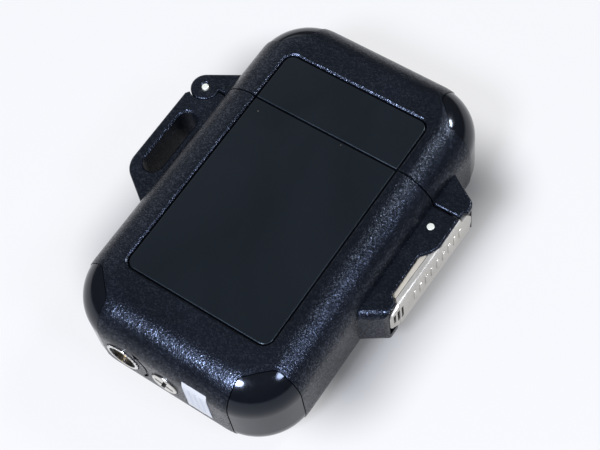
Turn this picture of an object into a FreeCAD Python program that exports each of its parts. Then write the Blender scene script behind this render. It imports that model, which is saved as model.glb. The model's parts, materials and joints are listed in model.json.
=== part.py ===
import FreeCAD, Part
import math
import os
from FreeCAD import Vector

# Pocket torch lighter with a side-hinged lid and a lever latch, lying on its back.
# Millimetres. +X towards the latch, +Y towards the lid, +Z out of the front face.
# The origin is the middle of the flat back face.

# ---- driving dimensions: case ----
WIDTH = 41.0
LENGTH = 66.0
DEPTH = 19.7
PLAN_R = 9.8                # radius of the four corners seen from the front
EDGE_R = 6.5                # radius of the front and back edges
WALL = 2.2
SEAM_Y = 13.25              # plane where the lid meets the body
SEAM_GAP = 0.26
MID_Z = DEPTH / 2
BASE_Y = -LENGTH / 2        # the end face with the fill valve

# ---- driving dimensions: corner caps and inlay panels ----
CAP_X = 12.4                # a cap starts this far from the middle on the end face
CAP_Y = 24.4                # and this far from the middle on the side face
CAP_DIAGONAL = 41.0         # x + y along its cut corner
CAP_STEP = 0.12             # how far the cap lies below the case surface
CAP_THICK = 0.9
CAP_GAP = 0.12
PANEL_X = 13.5
PANEL_LOW_Y = -22.5
PANEL_HIGH_Y = 23.0
PANEL_R = 1.6
PANEL_STEP = 0.2
PANEL_THICK = 0.9
PANEL_GROOVE = 0.28
PANEL_BEVEL = 0.2
PANEL_RIM = 0.3             # width of the slanted rim round the front panels

# ---- driving dimensions: lugs, hinge and latch ----
LUG_HALF = 4.78             # half thickness of the lugs in Z
LUG_FILLET = 0.45
LUG_END_Y, LUG_TIP_Y = -10.3, -6.95     # slanted lower end of the latch side lug
LUG_END_ROUND = 1.5
HINGE_X, HINGE_Y = -24.55, 12.8
HINGE_EYE_R = 2.55
PIN_R = 0.62
RUN = 0.06                  # radial running clearance on the pins
KNUCKLE_HALF = 1.6          # half length of the body's middle knuckle
SIDE_GAP = 0.2              # between neighbouring knuckles
LEFT_LUG_X = -26.9
SLOT_X0, SLOT_X1 = -25.05, -21.5
SLOT_Y0, SLOT_Y1 = -5.45, 7.5
LATCH_X, LATCH_Y = 22.0, 9.63
EAR_X = 25.1
BACK_CHEEK_X = 24.45        # the lug's back cheek is lower than its front one
LEVER_OUT_X = 25.25         # outer face of the latch lever before it is tilted shut
LEVER_TILT = -1.4           # degrees about the latch pin
SHEET = 0.45                # lever sheet thickness
LEVER_BEND = 0.5            # outer radius of its folds
LEVER_Z = 10.35             # middle of the lever
LEVER_HALF = 3.6            # half height of the lever in Z

# ---- driving dimensions: base fittings ----
VALVE_X = -8.2
VALVE_Z = 10.3
RING_R = 3.05
RING_RISE = 0.22            # how far the adjuster stands out of the end face
SCREW_HEAD_R = 2.4
SCREW_RISE = 0.3            # how far its head stands out of the end face
SCREW_SINK = 0.6            # depth of its counterbore
LABEL_X0, LABEL_X1 = 4.15, 8.75
LABEL_Z0, LABEL_Z1 = 7.0, 15.3
ARROW_R = 4.75
ARROW_HALF_ANGLE = 42
ARROW_HALF_WIDTH = 0.24
ARROW_DEPTH = 0.25

# ---- driving dimensions: mechanism ----
BURNER_X = -8.0
BURNER_R = 3.6
BUTTON_X0, BUTTON_X1 = 2.6, 15.4
BUTTON_HALF_Z = 4.2
BUTTON_TOP = 17.6
DECK_Y0, DECK_Y1 = 10.6, 12.6
COLLAR_TOP = 14.9
COLLAR_HALF_X = 17.0
COLLAR_HALF_Z = 6.4
LEVER_PIVOT_X, LEVER_PIVOT_Y = -1.2, -3.0


def mm_box(x0, x1, y0, y1, z0, z1):
    return Part.makeBox(x1 - x0, y1 - y0, z1 - z0, Vector(x0, y0, z0))


def rod_z(x, y, radius, z0, z1):
    return Part.makeCylinder(radius, z1 - z0, Vector(x, y, z0), Vector(0, 0, 1))


def rod_y(x, z, radius, y0, y1):
    return Part.makeCylinder(radius, y1 - y0, Vector(x, y0, z), Vector(0, 1, 0))


def tube_y(x, z, outer, inner, y0, y1):
    return rod_y(x, z, outer, y0, y1).cut(rod_y(x, z, inner, y0 - 1, y1 + 1))


def rounded_outline(corners):
    """Closed wire in the XY plane. Each corner is (x, y, radius)."""
    edges = []
    starts = []
    ends = []
    count = len(corners)
    for i in range(count):
        x, y, radius = corners[i]
        here = Vector(x, y, 0)
        before = Vector(*corners[i - 1][:2], 0).sub(here).normalize()
        after = Vector(*corners[(i + 1) % count][:2], 0).sub(here).normalize()
        if radius == 0:
            starts.append(here)
            ends.append(here)
            edges.append(None)
            continue
        half = before.getAngle(after) / 2
        reach = radius / math.tan(half)
        start = here + before * reach
        end = here + after * reach
        centre = here + (before + after).normalize() * (radius / math.sin(half))
        middle = centre + (here - centre).normalize() * radius
        starts.append(start)
        ends.append(end)
        edges.append(Part.Arc(start, middle, end).toShape())
    path = []
    for i in range(count):
        if edges[i] is not None:
            path.append(edges[i])
        following = starts[(i + 1) % count]
        if ends[i].distanceToPoint(following) > 1e-6:
            path.append(Part.LineSegment(ends[i], following).toShape())
    return Part.Wire(Part.__sortEdges__(path))


def prism(corners, z0, z1):
    face = Part.Face(rounded_outline(corners))
    face.translate(Vector(0, 0, z0))
    return face.extrude(Vector(0, 0, z1 - z0))


def rounded_block(x0, x1, y0, y1, z0, z1, radius):
    """Block running along Y with its four long edges rounded."""
    block = mm_box(x0, x1, y0, y1, z0, z1)
    long_edges = [e for e in block.Edges if abs(e.tangentAt(e.FirstParameter).y) > 0.9]
    return block.makeFillet(radius, long_edges)


def case(inset):
    """The rounded outer form of the closed lighter, shrunk by inset."""
    half_x = WIDTH / 2 - inset
    half_y = LENGTH / 2 - inset
    block = mm_box(-half_x, half_x, -half_y, half_y, inset, DEPTH - inset)
    upright = [e for e in block.Edges if abs(e.tangentAt(e.FirstParameter).z) > 0.9]
    block = block.makeFillet(PLAN_R - inset, upright)
    flat = [e for e in block.Edges if abs(e.tangentAt(e.FirstParameter).z) < 0.1]
    return block.makeFillet(EDGE_R - inset, flat)


def corner_region(side_x, side_y, shrink):
    """Prism through the whole depth that holds one corner cap."""
    far = 50.0
    low_x = CAP_X + shrink
    low_y = CAP_Y + shrink
    diagonal = CAP_DIAGONAL + shrink * math.sqrt(2)
    soft = 1.6
    outline = [
        (low_x, far, 0),
        (low_x, diagonal - low_x, soft),
        (diagonal - low_y, low_y, soft),
        (far, low_y, 0),
        (far, far, 0),
    ]
    placed = [(side_x * x, side_y * y, r) for x, y, r in outline]
    return prism(placed, -1, DEPTH + 1)


def below_seam():
    return mm_box(-50, 50, -50, SEAM_Y - SEAM_GAP / 2, -1, DEPTH + 1)


def above_seam():
    return mm_box(-50, 50, SEAM_Y + SEAM_GAP / 2, 50, -1, DEPTH + 1)


def panel_outline(grow):
    half = PANEL_X + grow
    low = PANEL_LOW_Y - grow
    high = PANEL_HIGH_Y + grow
    radius = PANEL_R + grow
    return [(-half, low, radius), (half, low, radius), (half, high, radius), (-half, high, radius)]


def soften(shape, radius, wanted):
    """Fillet the edges that the test picks, one radius for all."""
    edges = [e for e in shape.Edges if wanted(e)]
    if not edges:
        return shape
    return shape.makeFillet(radius, edges)


def at_z(*heights):
    """Test for edges that lie flat at one of these heights."""
    def wanted(edge):
        box = edge.BoundBox
        return box.ZLength < 1e-4 and any(abs(box.ZMin - z) < 1e-4 for z in heights)
    return wanted


def at_y(y):
    """Test for edges that lie in the plane across Y."""
    def wanted(edge):
        box = edge.BoundBox
        return box.YLength < 1e-4 and abs(box.YMin - y) < 1e-4
    return wanted


def moved(wire, z):
    copy = wire.copy()
    copy.translate(Vector(0, 0, z))
    return copy


def flare(corners, wide_corners, z, wide_z):
    """Solid between two outlines, used to cut a slanted rim."""
    wires = [moved(rounded_outline(corners), z), moved(rounded_outline(wide_corners), wide_z)]
    return Part.makeLoft(wires, True)


LUG_Z0 = MID_Z - LUG_HALF
LUG_Z1 = MID_Z + LUG_HALF


def lug(corners):
    """A lug of full thickness with its front and back edges softened."""
    solid = prism(corners, LUG_Z0, LUG_Z1)
    return soften(solid, LUG_FILLET, at_z(LUG_Z0, LUG_Z1))


OUTER = case(0)
INNER = case(WALL)
CAP_FACE = case(CAP_STEP)
CAP_SEAT = case(CAP_STEP + CAP_THICK)
PANEL_FLOOR = PANEL_STEP + PANEL_THICK


def hollow_case(region):
    """Case wall on one side of the seam, with seats for the caps and the two panels."""
    shell = OUTER.common(region).cut(INNER)
    ring = OUTER.cut(CAP_SEAT)
    for side_x in (-1, 1):
        for side_y in (-1, 1):
            shell = shell.cut(ring.common(corner_region(side_x, side_y, 0)))
    outline = panel_outline(PANEL_GROOVE)
    shell = shell.cut(prism(outline, DEPTH - PANEL_FLOOR, DEPTH + 1))
    wide = panel_outline(PANEL_GROOVE + PANEL_RIM)
    shell = shell.cut(flare(outline, wide, DEPTH - PANEL_BEVEL, DEPTH + 0.001))
    return shell.cut(prism(outline, -1, PANEL_FLOOR))


def front_panel(region):
    z1 = DEPTH - PANEL_STEP
    plate = prism(panel_outline(0), DEPTH - PANEL_FLOOR, z1).common(region)
    return soften(plate, PANEL_BEVEL, at_z(z1))


def back_panel(region):
    """Like the front panel, but flush with the case, so that the lighter lies flat on it."""
    plate = prism(panel_outline(0), 0, PANEL_FLOOR).common(region)
    return soften(plate, PANEL_BEVEL, at_z(0))


def corner_cap(side_x, side_y):
    return CAP_FACE.cut(CAP_SEAT).common(corner_region(side_x, side_y, CAP_GAP))


# ---- body shell ----
SEAM_BODY = SEAM_Y - SEAM_GAP / 2
SEAM_LID = SEAM_Y + SEAM_GAP / 2
INSIDE_X = 19.4             # lugs start inside the case wall


def body_left_lug():
    outline = [
        (-INSIDE_X, -11.6, 0),
        (-INSIDE_X, SEAM_BODY, 0),
        (HINGE_X, SEAM_BODY, 0),
        (HINGE_X, 11.3, 0),
        (-26.35, 10.9, 0),
        (LEFT_LUG_X, 10.1, 0.3),
        (LEFT_LUG_X, -6.35, 4.0),
    ]
    solid = lug(outline)
    solid = solid.cut(rod_z(HINGE_X, HINGE_Y, HINGE_EYE_R + 0.2, LUG_Z0 - 1, LUG_Z1 + 1))
    # middle knuckle, joined down to the lug
    knuckle_z0 = MID_Z - KNUCKLE_HALF
    knuckle_z1 = MID_Z + KNUCKLE_HALF
    knuckle = rod_z(HINGE_X, HINGE_Y, HINGE_EYE_R - 0.2, knuckle_z0, knuckle_z1)
    web = prism([
        (HINGE_X - HINGE_EYE_R + 0.3, 9.0, 0),
        (-20.6, 9.0, 0),
        (-20.6, SEAM_BODY, 0),
        (HINGE_X, HINGE_Y, 0),
        (HINGE_X - HINGE_EYE_R + 0.3, HINGE_Y, 0),
    ], knuckle_z0, knuckle_z1)
    solid = solid.fuse(knuckle.fuse(web))
    solid = solid.cut(rod_z(HINGE_X, HINGE_Y, PIN_R, LUG_Z0 - 1, LUG_Z1 + 1))
    # obround slot for a lanyard
    radius = (SLOT_X1 - SLOT_X0) / 2 - 0.01
    slot = [(SLOT_X0, SLOT_Y0, radius), (SLOT_X1, SLOT_Y0, radius),
            (SLOT_X1, SLOT_Y1, radius), (SLOT_X0, SLOT_Y1, radius)]
    solid = solid.cut(prism(slot, LUG_Z0 - 1, LUG_Z1 + 1))
    wide = [(SLOT_X0 - 0.3, SLOT_Y0 - 0.3, radius + 0.3), (SLOT_X1 + 0.3, SLOT_Y0 - 0.3, radius + 0.3),
            (SLOT_X1 + 0.3, SLOT_Y1 + 0.3, radius + 0.3), (SLOT_X0 - 0.3, SLOT_Y1 + 0.3, radius + 0.3)]
    solid = solid.cut(flare(slot, wide, LUG_Z1 - 0.3, LUG_Z1 + 0.001))
    return solid.cut(flare(slot, wide, LUG_Z0 + 0.3, LUG_Z0 - 0.001))


CHANNEL_HALF = LEVER_HALF + 0.2     # half height of the groove that the lever lies in
LUG_BASE_X = 23.2


def rounded_end():
    """Half space above the lug's slanted lower end, with a large round along it."""
    slope = (LUG_TIP_Y - LUG_END_Y) / (BACK_CHEEK_X - INSIDE_X)
    near_x = 10.0
    far_x = 35.0
    block = prism([
        (near_x, SEAM_BODY, 0),
        (near_x, LUG_END_Y + (near_x - INSIDE_X) * slope, 0),
        (far_x, LUG_END_Y + (far_x - INSIDE_X) * slope, 0),
        (far_x, SEAM_BODY, 0),
    ], LUG_Z0, LUG_Z1)

    def slanted(edge):
        box = edge.BoundBox
        return box.ZLength < 1e-4 and box.XLength > 1 and box.YLength > 1

    return soften(block, LUG_END_ROUND, slanted)


def body_right_lug():
    outline = [
        (INSIDE_X, SEAM_BODY, 0),
        (INSIDE_X, LUG_END_Y, 0),
        (BACK_CHEEK_X, LUG_TIP_Y, 1.5),
        (BACK_CHEEK_X, -4.4, 0.4),
        (LUG_BASE_X, -3.3, 0.4),
        (LUG_BASE_X, 4.3, 0.3),
        (24.4, 5.8, 1.0),
        (EAR_X, 7.4, 0.8),
        (EAR_X, SEAM_BODY, 0),
    ]
    solid = lug(outline).common(rounded_end())
    channel = prism([
        (20.6, 6.6, 1.5),
        (20.6, SEAM_BODY + 1, 0),
        (30, SEAM_BODY + 1, 0),
        (30, -6.5, 0),
        (23.2, -6.5, 0.5),
        (22.3, -3.9, 1.0),
        (22.3, 4.4, 1.0),
    ], LEVER_Z - CHANNEL_HALF, LEVER_Z + CHANNEL_HALF)
    solid = solid.cut(channel)
    solid = solid.cut(mm_box(BACK_CHEEK_X, 30, 5.0, SEAM_BODY + 1, LUG_Z0 - 1, LEVER_Z))
    return solid.cut(rod_z(LATCH_X, LATCH_Y, PIN_R, LUG_Z0 - 1, LUG_Z1 + 1))


def turn_arrow():
    """Shallow curved arrow beside the adjuster, showing which way it turns."""
    y0 = BASE_Y - 1
    y1 = BASE_Y + ARROW_DEPTH
    band = tube_y(VALVE_X, VALVE_Z, ARROW_R + ARROW_HALF_WIDTH, ARROW_R - ARROW_HALF_WIDTH, y0, y1)
    reach = ARROW_R * math.cos(math.radians(ARROW_HALF_ANGLE))
    arc = band.common(mm_box(VALVE_X + reach, VALVE_X + ARROW_R + 1, y0, y1, 0, DEPTH))
    head = prism([(-0.75, 0, 0), (0.75, 0, 0), (0, 1.3, 0)], 0, y1 - y0)
    head.rotate(Vector(0, 0, 0), Vector(1, 0, 0), 90)
    head.rotate(Vector(0, 0, 0), Vector(0, 1, 0), -ARROW_HALF_ANGLE)
    rise = ARROW_R * math.sin(math.radians(ARROW_HALF_ANGLE))
    head.translate(Vector(VALVE_X + reach, y1, VALVE_Z + rise))
    return arc.fuse(head)


def body_shell():
    shell = hollow_case(below_seam())
    inside = INNER.common(below_seam())
    shell = shell.fuse(body_left_lug().cut(inside))
    shell = shell.fuse(body_right_lug().cut(inside))
    shell = shell.cut(rod_y(VALVE_X, VALVE_Z, RING_R + 0.12, BASE_Y - 1, BASE_Y + 1.6))
    shell = shell.cut(rod_y(VALVE_X, VALVE_Z, 2.2, BASE_Y - 1, BASE_Y + WALL + 1))
    shell = shell.cut(rod_y(0, MID_Z, SCREW_HEAD_R + 0.12, BASE_Y - 1, BASE_Y + SCREW_SINK))
    shell = shell.cut(rod_y(0, MID_Z, 1.2, BASE_Y - 1, BASE_Y + WALL + 1))
    return shell.cut(turn_arrow()).removeSplitter()


# ---- lid shell ----
LID_LUG_X = 25.7
TAB_TOP_Z = 2.9              # top of the lever's tab above the middle of the lever
COUNTERSINK = 0.35          # depth and extra radius round the hinge pin's ends


def lid_left_arm():
    touch = math.radians(120)
    on_eye_x = HINGE_X + HINGE_EYE_R * math.cos(touch)
    on_eye_y = HINGE_Y + HINGE_EYE_R * math.sin(touch)
    far_x = -INSIDE_X
    far_y = on_eye_y + (far_x - on_eye_x) * math.tan(math.radians(30))
    arm = prism([
        (HINGE_X, HINGE_Y, 0),
        (on_eye_x, on_eye_y, 0),
        (far_x, far_y, 0),
        (far_x, SEAM_LID, 0),
        (HINGE_X + 1.0, SEAM_LID, 0),
    ], LUG_Z0, LUG_Z1)
    arm = arm.fuse(rod_z(HINGE_X, HINGE_Y, HINGE_EYE_R, LUG_Z0, LUG_Z1)).removeSplitter()
    arm = soften(arm, LUG_FILLET, at_z(LUG_Z0, LUG_Z1))
    gap = KNUCKLE_HALF + SIDE_GAP
    room = rod_z(HINGE_X, HINGE_Y, HINGE_EYE_R + 0.35, MID_Z - gap, MID_Z + gap)
    arm = arm.cut(room).cut(rod_z(HINGE_X, HINGE_Y, PIN_R + RUN, LUG_Z0 - 1, LUG_Z1 + 1))
    wide = PIN_R + RUN + COUNTERSINK
    for z, out in ((LUG_Z0, -1), (LUG_Z1, 1)):
        start = Vector(HINGE_X, HINGE_Y, z + out * 0.01)
        arm = arm.cut(Part.makeCone(wide, PIN_R + RUN, COUNTERSINK, start, Vector(0, 0, -out)))
    return arm


def lid_right_lug():
    outline = [
        (INSIDE_X, SEAM_LID, 0),
        (EAR_X, SEAM_LID, 0),
        (EAR_X + 0.1, 14.5, 0),
        (LID_LUG_X, 14.95, 0.2),
        (LID_LUG_X, 16.7, 1.9),
        (INSIDE_X, 20.45, 0),
    ]
    solid = lug(outline)
    pocket = mm_box(21.1, 30, SEAM_LID - 1, 14.95, LEVER_Z - CHANNEL_HALF, LEVER_Z + CHANNEL_HALF)
    notch = mm_box(22.9, 30, SEAM_LID - 1, 17.1, LUG_Z0 - 1, LEVER_Z + TAB_TOP_Z + 0.25)
    return solid.cut(pocket).cut(notch)


def lid_shell():
    shell = hollow_case(above_seam())
    inside = INNER.common(above_seam())
    shell = shell.fuse(lid_left_arm().cut(inside))
    shell = shell.fuse(lid_right_lug().cut(inside))
    return shell.removeSplitter()


# ---- hinge and latch ----
def hinge_pin():
    z0 = LUG_Z0 - 0.06
    z1 = LUG_Z1 + 0.06
    return soften(rod_z(HINGE_X, HINGE_Y, PIN_R, z0, z1), 0.2, at_z(z0, z1))


def latch_pin():
    z0 = LUG_Z0 - 0.12
    z1 = LUG_Z1 + 0.12
    return soften(rod_z(LATCH_X, LATCH_Y, PIN_R, z0, z1), 0.12, at_z(z0, z1))


LEVER_IN_X = LEVER_OUT_X - SHEET
FLANGE_JOIN_X = 24.2        # where the lever's flanges meet the inner channel
LEVER_Y0, LEVER_Y1 = -4.2, 14.2     # length of the folded part
TONGUE_Y = -6.3
TONGUE_IN = 0.4             # how far the tongue's end is bent in


def seated(shape):
    """Tilts a part of the latch about its pin, as it lies when shut."""
    copy = shape.copy()
    copy.rotate(Vector(LATCH_X, LATCH_Y, 0), Vector(0, 0, 1), LEVER_TILT)
    return copy


def lever_web():
    """Outer sheet of the lever: a tab above that holds the lid, a bent tongue below."""
    flat = LEVER_HALF - LEVER_BEND
    # listed as (y, z from the lever's middle, radius)
    outline = [
        (16.3, 0.6, 1.0),
        (15.0, TAB_TOP_Z, 0.8),
        (LEVER_Y0 + 0.2, flat + 0.2, 1.2),
        (TONGUE_Y, 1.9, 1.4),
        (TONGUE_Y, -1.9, 1.4),
        (LEVER_Y0 + 0.2, -flat - 0.2, 1.2),
        (15.8, -flat - 0.2, 0.9),
        (16.3, -1.2, 1.0),
    ]
    face = prism(outline, 0, 4)
    # the outline was drawn in XY: turn it so that Y stays and X becomes the thickness
    turn = FreeCAD.Matrix(0, 0, 1, LEVER_OUT_X - 2, 1, 0, 0, 0, 0, 1, 0, LEVER_Z, 0, 0, 0, 1)
    profile = [
        (LEVER_OUT_X, 17, 0),
        (LEVER_OUT_X, LEVER_Y0 + 0.7, 2.0),
        (LEVER_OUT_X - TONGUE_IN, TONGUE_Y - 0.1, 0),
        (LEVER_IN_X - TONGUE_IN, TONGUE_Y - 0.1, 0),
        (LEVER_IN_X, LEVER_Y0 + 0.6, 2.0),
        (LEVER_IN_X, 17, 0),
    ]
    return prism(profile, LEVER_Z - 5, LEVER_Z + 5).common(face.transformGeometry(turn))


def latch_lever():
    top = LEVER_Z + LEVER_HALF
    low = LEVER_Z - LEVER_HALF
    block = rounded_block(LATCH_X - 3, LEVER_OUT_X, LEVER_Y0, LEVER_Y1, low, top, LEVER_BEND)
    room = rounded_block(LATCH_X - 4, LEVER_IN_X, LEVER_Y0 - 1, LEVER_Y1 + 1, low + SHEET, top - SHEET, 0.1)
    side = prism([
        (LEVER_OUT_X + 1, 13.6, 0),
        (LATCH_X, 13.0, 2.0),
        (LATCH_X - 1.0, LATCH_Y, 0.6),
        (LATCH_X, 7.6, 0.8),
        (FLANGE_JOIN_X, 5.6, 0.6),
        (FLANGE_JOIN_X, -3.6, 0.3),
        (LEVER_IN_X - 0.1, LEVER_Y0 + 0.1, 0.3),
        (LEVER_OUT_X + 1, LEVER_Y0 + 0.1, 0),
    ], low - 1, top + 1)
    lever = lever_web().fuse(block.cut(room).common(side))
    lever = lever.cut(rod_z(LATCH_X, LATCH_Y, PIN_R + RUN, low - 1, top + 1))
    # three grip windows pierced in the tongue
    for y, half in ((-3.4, 1.7), (-4.3, 1.6), (-5.2, 1.25)):
        lever = lever.cut(mm_box(LEVER_IN_X - 2, LEVER_OUT_X + 1, y - 0.26, y + 0.26,
                                 LEVER_Z - half, LEVER_Z + half))
    return seated(lever.removeSplitter())


def latch_inner_channel():
    """Second folded sheet that closes the lever into a box, open towards the lever."""
    x0 = FLANGE_JOIN_X - 1.1
    x1 = FLANGE_JOIN_X - 0.08
    low = LEVER_Z - LEVER_HALF
    top = LEVER_Z + LEVER_HALF
    block = mm_box(x0, x1, -3.5, 5.25, low, top)
    room = mm_box(x0 + SHEET, x1 + 1, -5, 7, low + SHEET, top - SHEET)
    arm = mm_box(x0 + 0.02, LEVER_IN_X, -1.9, -1.1, low + SHEET, top - SHEET)
    return seated(block.cut(room).fuse(arm).removeSplitter())


def latch_spring():
    """Torsion spring coiled round the latch pin between the lever's flanges."""
    turns = 5
    wire_r = 0.22
    coil_r = PIN_R + wire_r + 0.1
    pitch = 2 * wire_r + 0.06
    rings = []
    for i in range(turns):
        z = LEVER_Z + (i - (turns - 1) / 2) * pitch
        rings.append(Part.makeTorus(coil_r, wire_r, Vector(LATCH_X, LATCH_Y, z), Vector(0, 0, 1)))
    spine = mm_box(LATCH_X - coil_r - wire_r, LATCH_X - coil_r + wire_r, LATCH_Y - 0.3, LATCH_Y + 0.3,
                   LEVER_Z - turns * pitch / 2, LEVER_Z + turns * pitch / 2)
    coil = rings[0]
    for ring in rings[1:]:
        coil = coil.fuse(ring)
    coil = coil.fuse(spine.cut(rod_z(LATCH_X, LATCH_Y, PIN_R + 0.05, 0, DEPTH)))
    return coil.removeSplitter()


# ---- base fittings ----

def flame_adjuster():
    """Knurled ring round the filling nozzle, with a stepped mouth."""
    y0 = BASE_Y - RING_RISE
    ring = rod_y(VALVE_X, VALVE_Z, RING_R, y0, BASE_Y + 1.45)
    ring = soften(ring, 0.15, at_y(y0))
    ring = ring.cut(rod_y(VALVE_X, VALVE_Z, RING_R - 0.55, y0 - 1, y0 + 0.3))
    ring = ring.cut(rod_y(VALVE_X, VALVE_Z, 1.97, y0 - 1, BASE_Y + 2))
    knurls = 26
    for i in range(knurls):
        turn = 2 * math.pi * i / knurls
        x = VALVE_X + RING_R * math.cos(turn)
        z = VALVE_Z + RING_R * math.sin(turn)
        ring = ring.cut(rod_y(x, z, 0.17, y0 - 1, BASE_Y + 0.35))
    return ring


TANK_Y0 = BASE_Y + WALL + 0.3
TANK_STEP_Y = -16.2         # the tank is low under the igniter
TANK_TOP_Y = -9.6
TANK_STEP_X = 2.6
TANK_GAP = 0.3              # between the tank and the case wall
TANK_WALL = 0.9


def tank_form(inset):
    """Follows the case inside, with a step that leaves room for the igniter."""
    low = mm_box(-50, 50, -50, TANK_STEP_Y - inset, 0, DEPTH)
    high = mm_box(-50, TANK_STEP_X - inset, -50, TANK_TOP_Y - inset, 0, DEPTH)
    return case(WALL + TANK_GAP + inset).common(low.fuse(high))


FILL_BODY_R = 1.9
FILL_BODY_TOP = BASE_Y + 9.0


def fuel_tank():
    tank = tank_form(0).cut(tank_form(TANK_WALL))
    socket = rod_y(VALVE_X, VALVE_Z, FILL_BODY_R + 0.9, TANK_Y0, BASE_Y + 8.0)
    boss = rod_y(0, MID_Z, 2.0, TANK_Y0, TANK_Y0 + 6.5)
    seat = rod_y(BURNER_X, MID_Z, 2.6, TANK_TOP_Y - 4.0, TANK_TOP_Y)
    tank = tank.fuse(socket).fuse(boss).fuse(seat)
    tank = tank.cut(rod_y(VALVE_X, VALVE_Z, FILL_BODY_R, TANK_Y0 - 1, BASE_Y + 9))
    tank = tank.cut(rod_y(0, MID_Z, 0.8, TANK_Y0 - 1, TANK_Y0 + 5.5))
    tank = tank.cut(rod_y(BURNER_X, MID_Z, 1.7, TANK_TOP_Y - 5.0, TANK_TOP_Y + 1))
    return tank.removeSplitter()


STEM_R = 0.7


def fill_valve_body():
    y0 = BASE_Y + 0.5
    body = rod_y(VALVE_X, VALVE_Z, FILL_BODY_R, y0, FILL_BODY_TOP)
    body = body.cut(rod_y(VALVE_X, VALVE_Z, 1.15, y0 - 1, y0 + 0.7))
    body = body.cut(rod_y(VALVE_X, VALVE_Z, STEM_R + 0.05, y0 - 1, FILL_BODY_TOP + 1))
    return body.cut(rod_y(VALVE_X, VALVE_Z, 1.35, y0 + 2.2, FILL_BODY_TOP - 0.8))


def fill_valve_stem():
    y0 = BASE_Y + 0.75
    stem = rod_y(VALVE_X, VALVE_Z, STEM_R, y0, FILL_BODY_TOP - 0.2)
    flange = rod_y(VALVE_X, VALVE_Z, 1.2, BASE_Y + 3.2, BASE_Y + 3.8)
    stem = stem.fuse(flange)
    return stem.cut(rod_y(VALVE_X, VALVE_Z, 0.3, y0 - 1, y0 + 1.6)).removeSplitter()


def ring_stack(x, z, y0, y1, coil_r, wire_r, turns):
    """Closed-coil spring along Y as touching rings joined by a thin spine."""
    step = (y1 - y0 - 2 * wire_r) / (turns - 1)
    spring = rod_y(x, z + coil_r, wire_r * 0.8, y0 + wire_r, y1 - wire_r)
    for i in range(turns):
        centre = Vector(x, y0 + wire_r + i * step, z)
        spring = spring.fuse(Part.makeTorus(coil_r, wire_r, centre, Vector(0, 1, 0)))
    return spring


def fill_valve_spring():
    return ring_stack(VALVE_X, VALVE_Z, BASE_Y + 3.85, BASE_Y + 8.1, 1.02, 0.14, 6)


def fill_valve_seal():
    return Part.makeTorus(1.0, 0.22, Vector(VALVE_X, BASE_Y + 2.96, VALVE_Z), Vector(0, 1, 0))


def base_screw():
    top = BASE_Y - SCREW_RISE
    head = rod_y(0, MID_Z, SCREW_HEAD_R, top, BASE_Y + SCREW_SINK)
    head = soften(head, 0.35, at_y(top))
    screw = head.fuse(rod_y(0, MID_Z, 1.0, BASE_Y, BASE_Y + WALL + 0.2))
    screw = screw.fuse(rod_y(0, MID_Z, 0.8, BASE_Y + WALL, TANK_Y0 + 5.0))
    arm = 1.75
    half = 0.34
    deep = BASE_Y + 0.25
    for turn in (20, 110):
        blade = mm_box(-arm, arm, BASE_Y - 1, deep, -half, half)
        blade.rotate(Vector(0, 0, 0), Vector(0, 1, 0), turn)
        blade.translate(Vector(0, 0, MID_Z))
        screw = screw.cut(blade)
    return screw.removeSplitter()


def base_label():
    thick = 0.06
    skin = case(-thick).cut(case(0))
    return skin.common(mm_box(LABEL_X0, LABEL_X1, -40, -28, LABEL_Z0, LABEL_Z1))


# ---- chassis and gas path ----
def chassis():
    """Deck that closes the body's mouth, with a raised collar for the lid's seal."""
    deck_z = DEPTH / 2 - WALL - 0.3
    deck = rounded_block(-18.0, 18.0, DECK_Y0, DECK_Y1, MID_Z - deck_z, MID_Z + deck_z, 3.9)
    collar = rounded_block(-COLLAR_HALF_X, COLLAR_HALF_X, DECK_Y1, COLLAR_TOP,
                           MID_Z - COLLAR_HALF_Z, MID_Z + COLLAR_HALF_Z, 3.2)
    room = rounded_block(-COLLAR_HALF_X + 0.9, COLLAR_HALF_X - 0.9, DECK_Y1, COLLAR_TOP + 1,
                         MID_Z - COLLAR_HALF_Z + 0.9, MID_Z + COLLAR_HALF_Z - 0.9, 2.4)
    groove = rounded_block(-COLLAR_HALF_X - 1, COLLAR_HALF_X + 1, 13.35, 14.25, 0, DEPTH, 1.0).cut(
        rounded_block(-COLLAR_HALF_X + 0.45, COLLAR_HALF_X - 0.45, 13, 15,
                      MID_Z - COLLAR_HALF_Z + 0.45, MID_Z + COLLAR_HALF_Z - 0.45, 2.8))
    frame = deck.fuse(collar.cut(room).cut(groove))
    # two side legs carry the deck down to the tank
    for side in (-1, 1):
        x0, x1 = sorted((side * 17.8, side * 16.4))
        low = TANK_TOP_Y + 0.1 if side < 0 else TANK_STEP_Y + 0.1
        frame = frame.fuse(mm_box(x0, x1, low, DECK_Y0, MID_Z - 3.2, MID_Z + 3.2))
    frame = frame.cut(rod_y(BURNER_X, MID_Z, BURNER_R + 0.02, DECK_Y0 - 1, DECK_Y1 + 1))
    hole = rounded_block(BUTTON_X0 - 0.25, BUTTON_X1 + 0.25, DECK_Y0 - 1, DECK_Y1 + 1,
                         MID_Z - BUTTON_HALF_Z - 0.25, MID_Z + BUTTON_HALF_Z + 0.25, 2.2)
    # crossbar with two cheeks that hold the valve lever's pivot
    bar_y0 = LEVER_PIVOT_Y - 1.1
    for side in (-1, 1):
        z0, z1 = sorted((MID_Z + side * 2.9, MID_Z + side * 2.1))
        frame = frame.fuse(mm_box(LEVER_PIVOT_X - 1.1, LEVER_PIVOT_X + 1.1, bar_y0, DECK_Y0, z0, z1))
    frame = frame.cut(rod_z(LEVER_PIVOT_X, LEVER_PIVOT_Y, 0.5, 0, DEPTH))
    return frame.cut(hole).removeSplitter()


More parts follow.
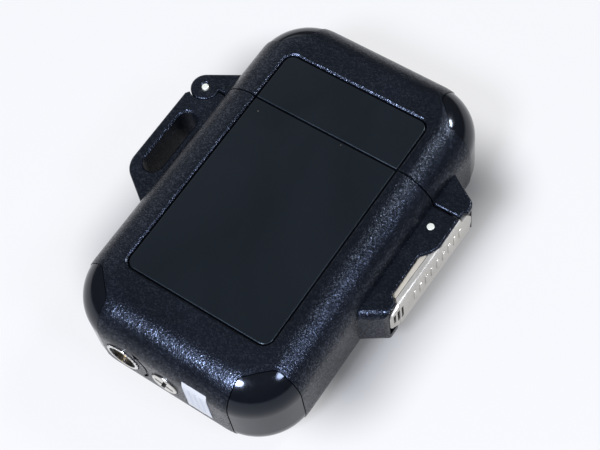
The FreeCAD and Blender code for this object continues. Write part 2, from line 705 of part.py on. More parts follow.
def collar_seal():
    ring = rounded_block(-COLLAR_HALF_X - 0.12, COLLAR_HALF_X + 0.12, 13.4, 14.2,
                         MID_Z - COLLAR_HALF_Z - 0.12, MID_Z + COLLAR_HALF_Z + 0.12, 3.3)
    return ring.cut(rounded_block(-COLLAR_HALF_X + 0.45, COLLAR_HALF_X - 0.45, 13, 15,
                                  MID_Z - COLLAR_HALF_Z + 0.45, MID_Z + COLLAR_HALF_Z - 0.45, 2.8))


LINER_Y0 = 15.3
LINER_THICK = 0.7


def lid_liner():
    """Heat-resistant cup inside the lid, open towards the body."""
    gap = 0.15
    outer = case(WALL + gap).common(mm_box(-50, 50, LINER_Y0, 50, -1, DEPTH + 1))
    return outer.cut(case(WALL + gap + LINER_THICK))


VALVE_TOP = TANK_TOP_Y + 1.6


def burner_valve_body():
    body = rod_y(BURNER_X, MID_Z, 1.7, TANK_TOP_Y - 4.6, TANK_TOP_Y)
    body = body.fuse(rod_y(BURNER_X, MID_Z, 2.2, TANK_TOP_Y, VALVE_TOP))
    body = body.cut(rod_y(BURNER_X, MID_Z, 0.85, TANK_TOP_Y - 3.6, VALVE_TOP + 1))
    return body.cut(rod_y(BURNER_X, MID_Z, 0.35, TANK_TOP_Y - 6, VALVE_TOP)).removeSplitter()


FORK_TOP = LEVER_PIVOT_Y + 0.5
STEM_TOP = 2.0


def burner_valve_stem():
    stem = rod_y(BURNER_X, MID_Z, 0.8, TANK_TOP_Y - 3.5, STEM_TOP)
    collar = rod_y(BURNER_X, MID_Z, 1.5, FORK_TOP + 0.06, FORK_TOP + 0.7)
    return stem.fuse(collar).cut(rod_y(BURNER_X, MID_Z, 0.3, TANK_TOP_Y, STEM_TOP + 1)).removeSplitter()


def gas_tube():
    """Soft tube from the valve stem's tip up to the jet."""
    return tube_y(BURNER_X, MID_Z, 1.35, 0.87, 0.6, 4.4)


def burner_jet():
    jet = rod_y(BURNER_X, MID_Z, 1.35, 4.4, 6.6)
    jet = jet.fuse(rod_y(BURNER_X, MID_Z, 3.1, 6.6, 8.4))
    jet = jet.fuse(rod_y(BURNER_X, MID_Z, 1.1, 8.4, 12.0))
    return jet.cut(rod_y(BURNER_X, MID_Z, 0.25, 4, 13)).removeSplitter()


BURNER_TOP = 21.2


def burner_tube():
    """Wind-proof shroud with a row of air holes below the deck."""
    tube = tube_y(BURNER_X, MID_Z, BURNER_R, BURNER_R - 0.5, 6.6, BURNER_TOP)
    holes = 6
    for i in range(holes):
        hole = Part.makeCylinder(0.6, 6, Vector(BURNER_X, 9.5, MID_Z), Vector(1, 0, 0))
        hole.rotate(Vector(BURNER_X, 9.5, MID_Z), Vector(0, 1, 0), 360 * i / holes)
        tube = tube.cut(hole)
    lip = tube_y(BURNER_X, MID_Z, BURNER_R - 0.5, 2.5, BURNER_TOP - 0.5, BURNER_TOP)
    return tube.fuse(lip).removeSplitter()


CORE_TOP = 17.6


def ceramic_core():
    core = rod_y(BURNER_X, MID_Z, 3.05, 13.2, CORE_TOP)
    core = core.cut(rod_y(BURNER_X, MID_Z, 0.7, 13, 18))
    for i in range(6):
        turn = math.radians(60 * i)
        x = BURNER_X + 1.9 * math.cos(turn)
        z = MID_Z + 1.9 * math.sin(turn)
        core = core.cut(rod_y(x, z, 0.45, 13, 18))
    return core


def catalyst_coil():
    """Platinum wire loop over the flame holes that keeps the torch lit in wind."""
    wire = 0.13
    post = 0.09
    y = CORE_TOP + 0.42
    loop = Part.makeTorus(1.9, wire, Vector(BURNER_X, y, MID_Z), Vector(0, 1, 0))
    for turn in (30, 210):
        x = BURNER_X + 1.9 * math.cos(math.radians(turn))
        z = MID_Z + 1.9 * math.sin(math.radians(turn))
        loop = loop.fuse(rod_y(x, z, post, CORE_TOP, y - 0.05))
    return loop


def electrode():
    """Spark wire in its insulator beside the jet."""
    x = BURNER_X + 2.0
    insulator = rod_y(x, MID_Z, 0.55, 8.4, 12.9)
    return insulator.fuse(rod_y(x, MID_Z, 0.2, 12.9, 13.15))


# ---- ignition ----
PIEZO_X = (BUTTON_X0 + BUTTON_X1) / 2
PIEZO_TOP = 3.4
PLUNGER_TOP = 8.6


def piezo_igniter():
    body = rounded_block(PIEZO_X - 4.0, PIEZO_X + 4.0, TANK_STEP_Y + 0.15, PIEZO_TOP,
                         MID_Z - 3.4, MID_Z + 3.4, 1.0)
    room = rounded_block(PIEZO_X - 3.1, PIEZO_X + 3.1, -5.5, PIEZO_TOP + 1, MID_Z - 2.5, MID_Z + 2.5, 0.6)
    hammer = rod_y(PIEZO_X, MID_Z, 1.6, -14.8, -4)
    return body.cut(room).cut(hammer)


def piezo_plunger():
    block = rounded_block(PIEZO_X - 2.9, PIEZO_X + 2.9, 0.0, PLUNGER_TOP, MID_Z - 2.3, MID_Z + 2.3, 0.6)
    return block.cut(rod_y(PIEZO_X, MID_Z, 1.5, -1, 6.4))


def piezo_spring():
    return ring_stack(PIEZO_X, MID_Z, -5.4, 6.3, 1.2, 0.17, 13)


def ignition_button():
    y0 = 7.2
    cap = rounded_block(BUTTON_X0, BUTTON_X1, y0, BUTTON_TOP, MID_Z - BUTTON_HALF_Z,
                        MID_Z + BUTTON_HALF_Z, 2.0)
    cap = soften(cap, 0.9, at_y(BUTTON_TOP))
    room = rounded_block(BUTTON_X0 + 1, BUTTON_X1 - 1, y0 - 1, PLUNGER_TOP, MID_Z - BUTTON_HALF_Z + 1,
                         MID_Z + BUTTON_HALF_Z - 1, 1.2)
    cap = cap.cut(room)
    # three grip ribs across the thumb pad
    for i in range(3):
        y = BUTTON_TOP - 0.12
        x = PIEZO_X + (i - 1) * 2.2
        cap = cap.cut(rod_z(x, y + 0.25, 0.4, 0, DEPTH))
    # foot that reaches the valve lever at the end of the stroke
    foot = mm_box(BUTTON_X0, BUTTON_X0 + 1.1, FORK_TOP + 3.15, y0 + 0.5, MID_Z - 1.6, MID_Z + 1.6)
    cap = cap.fuse(foot)
    # flange under the deck keeps the button in
    flange = rounded_block(BUTTON_X0 - 0.6, BUTTON_X1 + 0.6, y0, y0 + 1.0, MID_Z - BUTTON_HALF_Z - 0.6,
                           MID_Z + BUTTON_HALF_Z + 0.6, 2.2).cut(room)
    return cap.fuse(flange).removeSplitter()


def valve_lever():
    """Rocker on the chassis cheeks: the button's foot lowers one end, the fork lifts the stem."""
    y0 = LEVER_PIVOT_Y - 0.5
    arm = mm_box(BURNER_X - 1.3, LEVER_PIVOT_X + 5.0, y0, FORK_TOP, MID_Z - 1.8, MID_Z + 1.8)
    fork = mm_box(BURNER_X - 2, BURNER_X + 1.1, y0 - 1, FORK_TOP + 1, MID_Z - 1.0, MID_Z + 1.0)
    arm = arm.cut(fork)
    axle = rod_z(LEVER_PIVOT_X, LEVER_PIVOT_Y, 0.45, MID_Z - 2.85, MID_Z + 2.85)
    return arm.fuse(rod_z(LEVER_PIVOT_X, LEVER_PIVOT_Y, 0.9, MID_Z - 1.8, MID_Z + 1.8)).fuse(axle)


def hinge_washers():
    """One thin washer in the gap at each end of the body's knuckle."""
    rings = []
    for side in (-1, 1):
        z = MID_Z + side * (KNUCKLE_HALF + SIDE_GAP / 2)
        washer = rod_z(HINGE_X, HINGE_Y, 1.3, z - 0.07, z + 0.07)
        rings.append(washer.cut(rod_z(HINGE_X, HINGE_Y, PIN_R + 0.02, 0, DEPTH)))
    return Part.makeCompound(rings)


NODES = {
    "body_shell": body_shell,
    "body_front_panel": lambda: front_panel(below_seam()),
    "body_back_panel": lambda: back_panel(below_seam()),
    "lid_shell": lid_shell,
    "lid_front_panel": lambda: front_panel(above_seam()),
    "lid_back_panel": lambda: back_panel(above_seam()),
    "corner_cap_lower_left": lambda: corner_cap(-1, -1),
    "corner_cap_lower_right": lambda: corner_cap(1, -1),
    "corner_cap_upper_left": lambda: corner_cap(-1, 1),
    "corner_cap_upper_right": lambda: corner_cap(1, 1),
    "lid_liner": lid_liner,
    "collar_seal": collar_seal,
    "hinge_pin": hinge_pin,
    "hinge_washers": hinge_washers,
    "latch_pin": latch_pin,
    "latch_lever": latch_lever,
    "latch_inner_channel": latch_inner_channel,
    "latch_spring": latch_spring,
    "flame_adjuster": flame_adjuster,
    "fill_valve_body": fill_valve_body,
    "fill_valve_stem": fill_valve_stem,
    "fill_valve_spring": fill_valve_spring,
    "fill_valve_seal": fill_valve_seal,
    "base_screw": base_screw,
    "base_label": base_label,
    "fuel_tank": fuel_tank,
    "chassis": chassis,
    "burner_valve_body": burner_valve_body,
    "burner_valve_stem": burner_valve_stem,
    "gas_tube": gas_tube,
    "burner_jet": burner_jet,
    "burner_tube": burner_tube,
    "ceramic_core": ceramic_core,
    "catalyst_coil": catalyst_coil,
    "electrode": electrode,
    "piezo_igniter": piezo_igniter,
    "piezo_plunger": piezo_plunger,
    "piezo_spring": piezo_spring,
    "ignition_button": ignition_button,
    "valve_lever": valve_lever,
}

os.makedirs("parts", exist_ok=True)
for name, build in NODES.items():
    shape = build()
    print(name, "solids", len(shape.Solids), "valid", shape.isValid(), "volume", round(shape.Volume, 2))
    shape.exportStep("parts/" + name + ".step")
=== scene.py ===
import bmesh
import bpy
import json
import math
from mathutils import Matrix, Vector


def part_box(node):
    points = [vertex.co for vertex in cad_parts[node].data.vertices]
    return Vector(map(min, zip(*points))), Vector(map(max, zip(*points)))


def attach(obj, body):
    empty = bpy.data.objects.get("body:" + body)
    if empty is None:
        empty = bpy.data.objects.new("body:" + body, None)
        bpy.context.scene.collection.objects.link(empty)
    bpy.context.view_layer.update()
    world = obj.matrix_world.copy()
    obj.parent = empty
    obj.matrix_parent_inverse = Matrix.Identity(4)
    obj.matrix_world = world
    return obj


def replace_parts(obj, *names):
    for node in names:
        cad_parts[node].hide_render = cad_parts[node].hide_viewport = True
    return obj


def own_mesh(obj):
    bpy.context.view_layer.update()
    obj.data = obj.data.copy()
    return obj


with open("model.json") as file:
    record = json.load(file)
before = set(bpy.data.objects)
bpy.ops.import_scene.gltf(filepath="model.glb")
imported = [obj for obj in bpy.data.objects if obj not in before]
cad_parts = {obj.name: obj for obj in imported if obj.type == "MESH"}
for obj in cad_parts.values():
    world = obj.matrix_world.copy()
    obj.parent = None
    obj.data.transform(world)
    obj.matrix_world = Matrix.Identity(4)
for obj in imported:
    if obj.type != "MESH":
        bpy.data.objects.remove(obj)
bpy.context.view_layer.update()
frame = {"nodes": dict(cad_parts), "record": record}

MM = 0.001

# ---- places read from the frame ----
pin_low, pin_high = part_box("hinge_pin")
MID_Z = (pin_low.z + pin_high.z) / 2
pivot_low, pivot_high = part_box("latch_pin")
PIVOT = (pivot_low + pivot_high) / 2
core_low, core_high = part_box("ceramic_core")
CORE = (core_low + core_high) / 2
channel_low, channel_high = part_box("latch_inner_channel")
LEVER_Z = (channel_low.z + channel_high.z) / 2

# ---- sizes in mm, the first two as in the part's source ----
LEVER_TILT = -1.4               # degrees about the latch pin
LEVER_FACE_X = 25.25            # outer face of the latch lever before it is tilted
PAD_COUNT = 9
PAD_PITCH = 1.62
PAD_FIRST_Y = 13.1              # of the pad nearest the lid
PAD_HALF_Y, PAD_HALF_Z = 0.36, 1.35
PAD_CORNER = 0.3
PAD_RINGS = ((0.0, -0.05), (0.0, 0.06), (0.02, 0.11), (0.08, 0.14))     # inset and rise of each
LABEL_PITCH = 1.15
LABEL_LOW_Z, LABEL_HIGH_Z = 8.2, 14.0
SHARP = math.radians(35)        # folds sharper than this are shaded as edges


# ---- node helpers ----
class Shader:
    """One material: a Principled shader and short calls that add nodes to it."""

    def __init__(self, name, color, roughness, metallic=0.0, **sockets):
        self.material = bpy.data.materials.new(name)
        self.material.use_nodes = True
        self.tree = self.material.node_tree
        self.shader = self.tree.nodes["Principled BSDF"]
        self.shader.inputs["Base Color"].default_value = (*color, 1.0)
        self.shader.inputs["Roughness"].default_value = roughness
        self.shader.inputs["Metallic"].default_value = metallic
        for socket, value in sockets.items():
            self.shader.inputs[socket.replace("_", " ")].default_value = value
        self.place = self.tree.nodes.new("ShaderNodeTexCoord").outputs["Object"]
        self.normal = None

    def node(self, kind, inputs=None, **settings):
        made = self.tree.nodes.new(kind)
        for key, value in settings.items():
            setattr(made, key, value)
        for key, value in (inputs or {}).items():
            if isinstance(value, bpy.types.NodeSocket):
                self.tree.links.new(value, made.inputs[key])
            else:
                made.inputs[key].default_value = value
        return made

    def stretched(self, x, y, z):
        mapped = self.node("ShaderNodeMapping", {"Vector": self.place, "Scale": (x, y, z)})
        return mapped.outputs["Vector"]

    def noise(self, scale, detail=2.0, rough=0.5, place=None, distortion=0.0):
        made = self.node("ShaderNodeTexNoise", {"Vector": place or self.place, "Scale": scale,
                                                "Detail": detail, "Roughness": rough,
                                                "Distortion": distortion})
        return made.outputs["Fac"]

    def spread(self, value, low_in, high_in, low_out, high_out):
        made = self.node("ShaderNodeMapRange", {"Value": value, "From Min": low_in,
                                                "From Max": high_in, "To Min": low_out,
                                                "To Max": high_out})
        return made.outputs["Result"]

    def math(self, operation, a, b=0.0):
        return self.node("ShaderNodeMath", {0: a, 1: b}, operation=operation).outputs["Value"]

    def colors(self, value, dark, light):
        """Mix of two colours; light may also be a colour socket."""
        made = self.tree.nodes.new("ShaderNodeMix")
        made.data_type = "RGBA"
        for place, given in ((0, value), (6, dark), (7, light)):
            if isinstance(given, bpy.types.NodeSocket):
                self.tree.links.new(given, made.inputs[place])
            else:
                made.inputs[place].default_value = (*given, 1.0)
        return made.outputs[2]

    def set(self, socket, value):
        self.tree.links.new(value, self.shader.inputs[socket])

    def bump(self, height, strength, depth):
        inputs = {"Height": height, "Strength": strength, "Distance": depth}
        if self.normal is not None:
            inputs["Normal"] = self.normal
        self.normal = self.node("ShaderNodeBump", inputs).outputs["Normal"]
        self.set("Normal", self.normal)


def grained_black():
    """Sand-blasted satin moulding: fine facets that glitter where a light grazes them."""
    s = Shader("grained_black", (0.003, 0.0035, 0.005), 0.2, IOR=1.36,
               Specular_Tint=(0.62, 0.74, 1.0, 1.0))
    fine = s.noise(4300, 2, 0.55)
    pits = s.node("ShaderNodeTexVoronoi", {"Vector": s.place, "Scale": 4700.0})
    chance = s.node("ShaderNodeSeparateColor", {"Color": pits.outputs["Color"]})
    patches = s.noise(90, 3)
    s.set("Roughness", s.math("ADD", s.spread(fine, 0.3, 0.7, 0.17, 0.27),
                              s.spread(patches, 0.3, 0.7, -0.03, 0.05)))
    s.set("Base Color", s.colors(s.spread(patches, 0.35, 0.65, 0, 1),
                                 (0.0018, 0.0022, 0.0031), (0.0026, 0.0031, 0.0044)))
    glint = s.math("POWER", chance.outputs["Red"], 3.0)
    s.set("Specular IOR Level", s.spread(glint, 0.0, 1.0, 0.2, 1.25))
    s.bump(pits.outputs["Distance"], 0.6, 0.045 * MM)
    s.bump(fine, 0.6, 0.055 * MM)
    return s.material


def smooth_black():
    """Very smooth satin inlay with faint cloudy wiping marks and a few grains of dust."""
    s = Shader("smooth_black", (0.0022, 0.0028, 0.0037), 0.3, IOR=1.36,
               Specular_Tint=(0.7, 0.88, 1.0, 1.0))
    wipe = s.noise(70, 4, 0.6, s.stretched(1.0, 0.45, 1.0), 0.6)
    tooth = s.noise(9000, 1)
    cell = s.node("ShaderNodeTexVoronoi", {"Vector": s.place, "Scale": 260.0})
    near = s.math("LESS_THAN", cell.outputs["Distance"], 0.026)
    chance = s.node("ShaderNodeSeparateColor", {"Color": cell.outputs["Color"]})
    rare = s.math("GREATER_THAN", chance.outputs["Red"], 0.8)
    dust = s.math("MULTIPLY", near, rare)
    s.set("Roughness", s.spread(wipe, 0.3, 0.7, 0.28, 0.33))
    plain = s.colors(s.spread(wipe, 0.3, 0.7, 0, 1), (0.0019, 0.0025, 0.0033), (0.0027, 0.0033, 0.0044))
    s.set("Base Color", s.colors(dust, plain, (0.07, 0.06, 0.045)))
    s.bump(tooth, 0.08, 0.02 * MM)
    return s.material


def gloss_black():
    """Glossy moulding with a faint ripple and haze."""
    s = Shader("gloss_black", (0.0015, 0.0018, 0.0026), 0.12, IOR=1.38,
               Specular_Tint=(0.74, 0.84, 1.0, 1.0))
    ripple = s.noise(160, 2)
    haze = s.noise(900, 3, 0.6)
    s.set("Roughness", s.spread(haze, 0.35, 0.7, 0.09, 0.17))
    s.bump(ripple, 0.12, 0.12 * MM)
    return s.material


def dark_moulding(name, color, roughness):
    """Plain moulded plastic with a fine grain."""
    s = Shader(name, color, roughness)
    grain = s.noise(2600, 2)
    cloud = s.noise(120, 3)
    s.set("Roughness", s.spread(cloud, 0.3, 0.7, roughness - 0.06, roughness + 0.08))
    s.set("Base Color", s.colors(cloud, [c * 0.85 for c in color], [c * 1.15 for c in color]))
    s.bump(grain, 0.2, 0.03 * MM)
    return s.material


def metal(name, color, roughness, stretch, scratch=0.15, metallic=1.0, face=None):
    """Metal with a drawn or turned grain: stretch sets how long the lines run on each axis.

    With face, the Y of an end face, painted shade darkens what lies deeper than that face, as in the
    recesses.
    """
    s = Shader(name, color, roughness, metallic)
    lines = s.noise(1500, 3, 0.6, s.stretched(*stretch))
    cloud = s.noise(220, 3)
    s.set("Roughness", s.math("ADD", s.spread(lines, 0.3, 0.7, roughness - 0.05, roughness + 0.07),
                              s.spread(cloud, 0.3, 0.7, -0.03, 0.05)))
    surface_tone = s.colors(s.spread(cloud, 0.3, 0.7, 0, 1),
                     [c * 0.88 for c in color], [min(1.0, c * 1.05) for c in color])
    if face is not None:
        # painted shade: deeper than the end face the colour drops to 0.14 of itself, standing in for
        # shade in recesses
        depth = s.node("ShaderNodeSeparateXYZ", {"Vector": s.place}).outputs["Y"]
        surface_tone = s.colors(s.spread(depth, face + 0.06 * MM, face + 0.2 * MM, 0, 1),
                         surface_tone, [c * 0.14 for c in color])
    s.set("Base Color", surface_tone)
    s.bump(lines, scratch, 0.02 * MM)
    return s.material


def soft_rubber(name, color):
    s = Shader(name, color, 0.62)
    s.bump(s.noise(3200, 3), 0.25, 0.03 * MM)
    s.set("Roughness", s.spread(s.noise(300, 3), 0.3, 0.7, 0.55, 0.7))
    return s.material


def translucent(name, color, weight):
    s = Shader(name, color, 0.28, 0.0, Transmission_Weight=weight)
    s.set("Roughness", s.spread(s.noise(200, 3), 0.3, 0.7, 0.22, 0.36))
    s.bump(s.noise(700, 2), 0.1, 0.04 * MM)
    return s.material


def ceramic():
    s = Shader("white_ceramic", (0.8, 0.78, 0.72), 0.55)
    s.set("Base Color", s.colors(s.noise(900, 4), (0.72, 0.69, 0.62), (0.86, 0.84, 0.79)))
    s.bump(s.noise(5000, 3), 0.3, 0.03 * MM)
    return s.material


def label_film():
    """Pale printed film with a few plain grey rules in place of print."""
    s = Shader("white_label", (0.78, 0.8, 0.83), 0.42)
    split = s.node("ShaderNodeSeparateXYZ", {"Vector": s.place})
    across = s.math("FRACT", s.math("MULTIPLY", split.outputs["X"], 1 / (LABEL_PITCH * MM)))
    band = s.math("MULTIPLY", s.math("GREATER_THAN", across, 0.4), s.math("LESS_THAN", across, 0.85))
    inside = s.math("MULTIPLY", s.math("GREATER_THAN", split.outputs["Z"], LABEL_LOW_Z * MM),
                    s.math("LESS_THAN", split.outputs["Z"], LABEL_HIGH_Z * MM))
    rule = s.math("MULTIPLY", s.math("MULTIPLY", band, inside), 0.75)
    cloud = s.noise(400, 3)
    paper = s.colors(cloud, (0.27, 0.27, 0.265), (0.33, 0.33, 0.32))
    s.set("Base Color", s.colors(rule, paper, (0.22, 0.24, 0.27)))
    s.bump(cloud, 0.1, 0.02 * MM)
    return s.material


MATERIALS = {
    "grained_black": grained_black(),
    "smooth_black": smooth_black(),
    "gloss_black": gloss_black(),
    "heat_resistant_black": dark_moulding("heat_resistant_black", (0.02, 0.02, 0.021), 0.6),
    "seal_rubber": soft_rubber("seal_rubber", (0.016, 0.016, 0.017)),
    "bright_steel": metal("bright_steel", (0.7, 0.7, 0.66), 0.28, (1, 1, 1), 0.1),
    # screw_steel and ring_chrome carry painted shade in their recesses, below their end faces
    "screw_steel": metal("screw_steel", (0.7, 0.68, 0.64), 0.25, (1, 1, 1), 0.1,
                         face=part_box("base_screw")[0].y),
    "ring_chrome": metal("ring_chrome", (0.75, 0.74, 0.72), 0.2, (1, 1, 1), 0.1,
                         face=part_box("flame_adjuster")[0].y),
    "nozzle_brass": metal("nozzle_brass", (0.82, 0.68, 0.44), 0.24, (1, 1, 1), 0.1),
    "pin_end_steel": metal("pin_end_steel", (0.42, 0.42, 0.35), 0.35, (1, 1, 1), 0.1, 0.4),
    "nickel_sheet": metal("nickel_sheet", (0.46, 0.437, 0.386), 0.3, (1, 0.08, 1), 0.15, 0.75),
    "warm_nickel_sheet": metal("warm_nickel_sheet", (0.37, 0.335, 0.265), 0.4, (1, 0.08, 1), 0.15, 0.55),
    "spring_steel": metal("spring_steel", (0.5, 0.5, 0.5), 0.3, (1, 1, 1)),
    "chrome_trim": metal("chrome_trim", (0.8, 0.8, 0.8), 0.12, (1, 1, 1), 0.06),
    "brass_fitting": metal("brass_fitting", (0.76, 0.55, 0.24), 0.26, (1, 0.15, 1)),
    "white_label": label_film(),
    "tank_nylon": translucent("tank_nylon", (0.75, 0.72, 0.64), 0.35),
    "chassis_black": dark_moulding("chassis_black", (0.02, 0.02, 0.022), 0.5),
    "soft_tube": translucent("soft_tube", (0.68, 0.66, 0.58), 0.4),
    "white_ceramic": ceramic(),
    "catalyst_wire": metal("catalyst_wire", (0.66, 0.64, 0.6), 0.35, (1, 1, 1)),
    "igniter_case": dark_moulding("igniter_case", (0.03, 0.03, 0.034), 0.35),
    "igniter_plunger": dark_moulding("igniter_plunger", (0.62, 0.61, 0.58), 0.45),
    "button_black": dark_moulding("button_black", (0.018, 0.018, 0.02), 0.42),
}


# nodes whose visible end has more to it than their slot's plain finish
FINISHES = {
    "base_screw": "screw_steel",
    "flame_adjuster": "ring_chrome",
    "fill_valve_body": "nozzle_brass",
    "hinge_pin": "pin_end_steel",
    "latch_pin": "pin_end_steel",
}


def paint_nodes():
    for part in frame["record"]["subparts"]:
        node = frame["nodes"][part["node"]]
        finish = FINISHES.get(part["node"], part["material_slot"])
        node.data.materials.clear()
        node.data.materials.append(MATERIALS[finish])


paint_nodes()


# ---- pieces that ride on the bodies ----
def piece(name, bm, slot, body):
    """Mesh object from a bmesh, smooth but for its sharp folds, riding on a body."""
    bmesh.ops.recalc_face_normals(bm, faces=bm.faces)
    for face in bm.faces:
        face.smooth = True
    for edge in bm.edges:
        edge.smooth = edge.calc_face_angle(0.0) < SHARP
    mesh = bpy.data.meshes.new(name)
    bm.to_mesh(mesh)
    bm.free()
    mesh.materials.append(MATERIALS[slot])
    made = bpy.data.objects.new(name, mesh)
    bpy.context.scene.collection.objects.link(made)
    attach(made, body)
    return made


def pad_ring(half_y, half_z, corner, x):
    """Rounded rectangle of points on the plane across X."""
    ring = []
    for side_y, side_z, start in ((1, 1, 0), (-1, 1, 90), (-1, -1, 180), (1, -1, 270)):
        for step in range(5):
            turn = math.radians(start + step * 22.5)
            ring.append(Vector((x, side_y * (half_y - corner) + corner * math.cos(turn),
                                side_z * (half_z - corner) + corner * math.sin(turn))))
    return ring


def skin(bm, rings):
    """Skin over rings of points, in order, closed at both ends."""
    made = [[bm.verts.new(point) for point in ring] for ring in rings]
    for low, high in zip(made, made[1:]):
        count = len(low)
        for i in range(count):
            j = (i + 1) % count
            bm.faces.new((low[i], low[j], high[j], high[i]))
    bm.faces.new(made[0])
    bm.faces.new(made[-1])


def lever_pads():
    """Row of plain raised pads along the lever's outer face, for grip."""
    pin = Vector((PIVOT.x / MM, PIVOT.y / MM, 0))
    tilt = Matrix.Rotation(math.radians(LEVER_TILT), 3, "Z")
    bm = bmesh.new()
    for i in range(PAD_COUNT):
        place = Vector((0, PAD_FIRST_Y - PAD_PITCH * i, LEVER_Z / MM))
        rings = []
        for inset, rise in PAD_RINGS:
            outline = pad_ring(PAD_HALF_Y - inset, PAD_HALF_Z - inset, PAD_CORNER - inset,
                               LEVER_FACE_X + rise)
            rings.append([(pin + tilt @ (point + place - pin)) * MM for point in outline])
        skin(bm, rings)
    piece("lever_pads", bm, "nickel_sheet", "latch")


def wire(bm, points, radius):
    """Round wire along points, closed at both ends."""
    sides = 8
    rings = []
    side = None
    for i, point in enumerate(points):
        before = points[max(i - 1, 0)]
        after = points[min(i + 1, len(points) - 1)]
        along = (after - before).normalized()
        if side is None:
            side = along.orthogonal().normalized()
        side = (side - along * side.dot(along)).normalized()
        across = along.cross(side)
        rings.append([point + (side * math.cos(2 * math.pi * k / sides)
                               + across * math.sin(2 * math.pi * k / sides)) * radius
                      for k in range(sides)])
    skin(bm, rings)


def catalyst():
    """Coiled wire bowed across the flame holes on two short legs."""
    reach = 1.9             # from the middle to each leg
    coil_r = 0.24
    wire_r = 0.055
    turns = 13
    per_turn = 16
    joint = Vector((0, -0.2, 0))
    foot = Vector((0, -0.42, 0))
    top = core_high.y / MM
    lean = math.radians(30)
    along = Vector((math.cos(lean), 0, math.sin(lean)))
    aside = Vector((-math.sin(lean), 0, math.cos(lean)))
    centre = Vector((CORE.x / MM, top + 0.4, CORE.z / MM))
    points = [centre + along * reach + foot, centre + along * reach + joint]
    for i in range(turns * per_turn + 1):
        part = i / (turns * per_turn)
        turn = 2 * math.pi * part * turns
        bow = 0.5 * math.sin(math.pi * part)
        spot = centre + along * (reach * (1 - 2 * part)) + aside * bow
        coil = aside * math.cos(turn) + Vector((0, 1, 0)) * math.sin(turn)
        points.append(spot + coil * coil_r * min(1.0, 8 * part, 8 * (1 - part)))
    points.append(centre - along * reach + joint)
    points.append(centre - along * reach + foot)
    bm = bmesh.new()
    wire(bm, [point * MM for point in points], wire_r * MM)
    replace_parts(piece("catalyst_winding", bm, "catalyst_wire", "body"), "catalyst_coil")


def winding(node, turns, wire_r, axis):
    """Wound wire with closed end turns in the box of a spring node, in its place."""
    low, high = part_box(node)
    centre = (low + high) / 2
    side = (axis + 1) % 3
    other = (axis + 2) % 3
    coil_r = (high.x - low.x) / 2 - wire_r
    run = high[axis] - low[axis] - 2 * wire_r
    steps = turns * 20
    closed = 0.9            # turns at each end that lie flat
    points = []
    for i in range(steps + 1):
        part = i / steps
        climb = min(1.0, max(0.0, (part * turns - closed) / (turns - 2 * closed)))
        point = centre.copy()
        point[side] += coil_r * math.cos(2 * math.pi * part * turns)
        point[other] += coil_r * math.sin(2 * math.pi * part * turns)
        point[axis] = low[axis] + wire_r + run * climb
        points.append(point)
    bm = bmesh.new()
    wire(bm, points, wire_r)
    made = piece(node + "_winding", bm, "spring_steel", "body")
    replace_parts(made, node)
    return made, low, high


def springs():
    """The three wound springs, in place of their nodes; the two on slides get meshes of their own."""
    winding("latch_spring", turns=5, wire_r=0.2 * MM, axis=2)
    made, low, high = winding("piezo_spring", turns=13, wire_r=0.17 * MM, axis=1)
    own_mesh(made)
    made, low, high = winding("fill_valve_spring", turns=7, wire_r=0.17 * MM, axis=1)
    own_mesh(made)


lever_pads()
catalyst()
springs()


# ---- studio ----
def floor():
    """Sheet that looks pale by its own glow; the glow is weaker under and beside the object as painted
    shade for its shadow, and fades farther out as a painted falloff of light.

    Sizes here are in metres.
    """
    half = 1.5
    # painted shadow: the floor's glow drops in a soft box under and beside the object, standing in for
    # its cast shadow
    shade_centre = (-0.001, 0.006, 0.0)
    shade_half = (0.0185, 0.019, 1.0)
    shade_edge = 0.016
    glow_in_painted_shade, glow_open = 0.1, 0.75
    fade_from, fade_to = 0.08, 0.6
    mesh = bpy.data.meshes.new("floor")
    mesh.from_pydata([(-half, -half, 0), (half, -half, 0), (half, half, 0), (-half, half, 0)],
                     [], [(0, 1, 2, 3)])
    made = bpy.data.objects.new("floor", mesh)
    bpy.context.scene.collection.objects.link(made)
    s = Shader("pale_floor", (0.06, 0.06, 0.06), 0.7, 0.0, Specular_IOR_Level=0.1,
               Emission_Color=(0.995, 0.995, 1.0, 1.0))
    s.set("Base Color", s.colors(s.noise(6, 3), (0.056, 0.056, 0.057), (0.064, 0.064, 0.065)))
    shifted = s.node("ShaderNodeVectorMath", {0: s.place, 1: shade_centre}, operation="SUBTRACT")
    folded = s.node("ShaderNodeVectorMath", {0: shifted.outputs[0]}, operation="ABSOLUTE")
    beyond = s.node("ShaderNodeVectorMath", {0: folded.outputs[0], 1: shade_half},
                    operation="SUBTRACT")
    outside = s.node("ShaderNodeVectorMath", {0: beyond.outputs[0], 1: (0.0, 0.0, 0.0)},
                     operation="MAXIMUM")
    away = s.node("ShaderNodeVectorMath", {0: outside.outputs[0]}, operation="LENGTH")
    glow = s.node("ShaderNodeMapRange", {"Value": away.outputs["Value"], "From Min": 0.0,
                                         "From Max": shade_edge, "To Min": glow_in_painted_shade,
                                         "To Max": glow_open},
                  interpolation_type="SMOOTHSTEP")
    # painted falloff of light: the glow dims with distance from the middle of the object
    reach = s.node("ShaderNodeVectorMath", {0: s.place}, operation="LENGTH")
    fade = s.node("ShaderNodeMapRange", {"Value": reach.outputs["Value"], "From Min": fade_from,
                                         "From Max": fade_to, "To Min": 1.0, "To Max": 0.2},
                  interpolation_type="SMOOTHSTEP")
    s.set("Emission Strength", s.math("MULTIPLY", glow.outputs["Result"], fade.outputs["Result"]))
    made.data.materials.append(s.material)


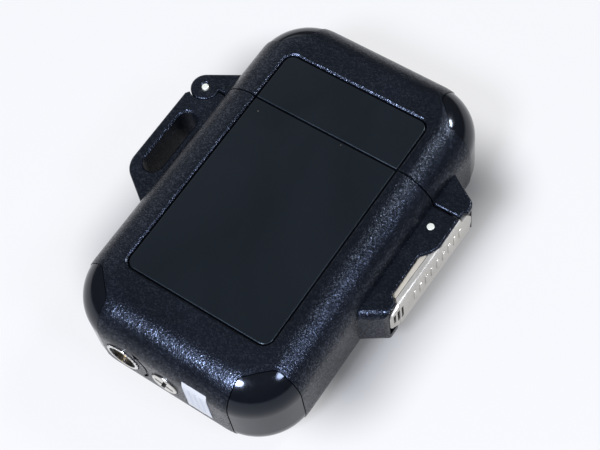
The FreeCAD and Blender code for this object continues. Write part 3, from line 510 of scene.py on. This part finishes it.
def area_light(name, towards, distance, size, power, color=(0.95, 0.975, 1.0)):
    """Round lamp that faces the middle of the object."""
    light = bpy.data.lights.new(name, "AREA")
    light.shape = "DISK"
    light.size = size
    light.energy = power
    light.color = color
    made = bpy.data.objects.new(name, light)
    direction = Vector(towards).normalized()
    made.location = Vector((0, 0, MID_Z)) + direction * distance
    made.rotation_euler = direction.to_track_quat("Z", "Y").to_euler()
    bpy.context.scene.collection.objects.link(made)


def studio():
    """Floor, four soft lamps and a dim room that is lighter above."""
    floor()
    area_light("lamp_base_end", (-0.01, -0.65, 0.76), 1.0, 0.26, 33.0, (0.76, 0.82, 1.0))
    area_light("lamp_latch_side", (0.74, 0.02, 0.67), 1.0, 0.26, 8.0, (0.74, 0.8, 1.0))
    area_light("lamp_lid_end", (0.34, 0.66, 0.67), 1.0, 0.2, 6.5)
    area_light("wide_window", (-0.75, 0.45, 0.5), 1.1, 0.9, 1.6)
    world = bpy.data.worlds.new("dim_room")
    bpy.context.scene.world = world
    world.use_nodes = True
    tree = world.node_tree
    back = tree.nodes["Background"]
    place = tree.nodes.new("ShaderNodeTexCoord").outputs["Generated"]
    split = tree.nodes.new("ShaderNodeSeparateXYZ")
    tree.links.new(place, split.inputs["Vector"])
    ramp = tree.nodes.new("ShaderNodeValToRGB")
    tree.links.new(split.outputs["Z"], ramp.inputs["Fac"])
    ramp.color_ramp.elements[0].position = 0.0
    ramp.color_ramp.elements[0].color = (0.1, 0.105, 0.12, 1)
    ramp.color_ramp.elements[1].position = 0.95
    ramp.color_ramp.elements[1].color = (0.25, 0.25, 0.245, 1)
    tree.links.new(ramp.outputs["Color"], back.inputs["Color"])
    back.inputs["Strength"].default_value = 1.0


def camera():
    """Looks down on the front from the base end and the latch side."""
    place = Vector((82.16, -80.66, 217.87))
    pan, tip, roll = 44.341, 28.773, -11.531
    data = bpy.data.cameras.new("camera")
    data.lens = 87.555
    data.sensor_width = 36.0
    data.clip_start = 0.01
    data.clip_end = 10.0
    made = bpy.data.objects.new("camera", data)
    turn = (Matrix.Rotation(math.radians(pan), 3, "Z")
            @ Matrix.Rotation(math.radians(tip), 3, "X")
            @ Matrix.Rotation(math.radians(roll), 3, "Z"))
    made.matrix_world = Matrix.Translation(place * MM) @ turn.to_4x4()
    bpy.context.scene.collection.objects.link(made)
    bpy.context.scene.camera = made


studio()
camera()
bpy.context.scene.view_settings.view_transform = "Standard"
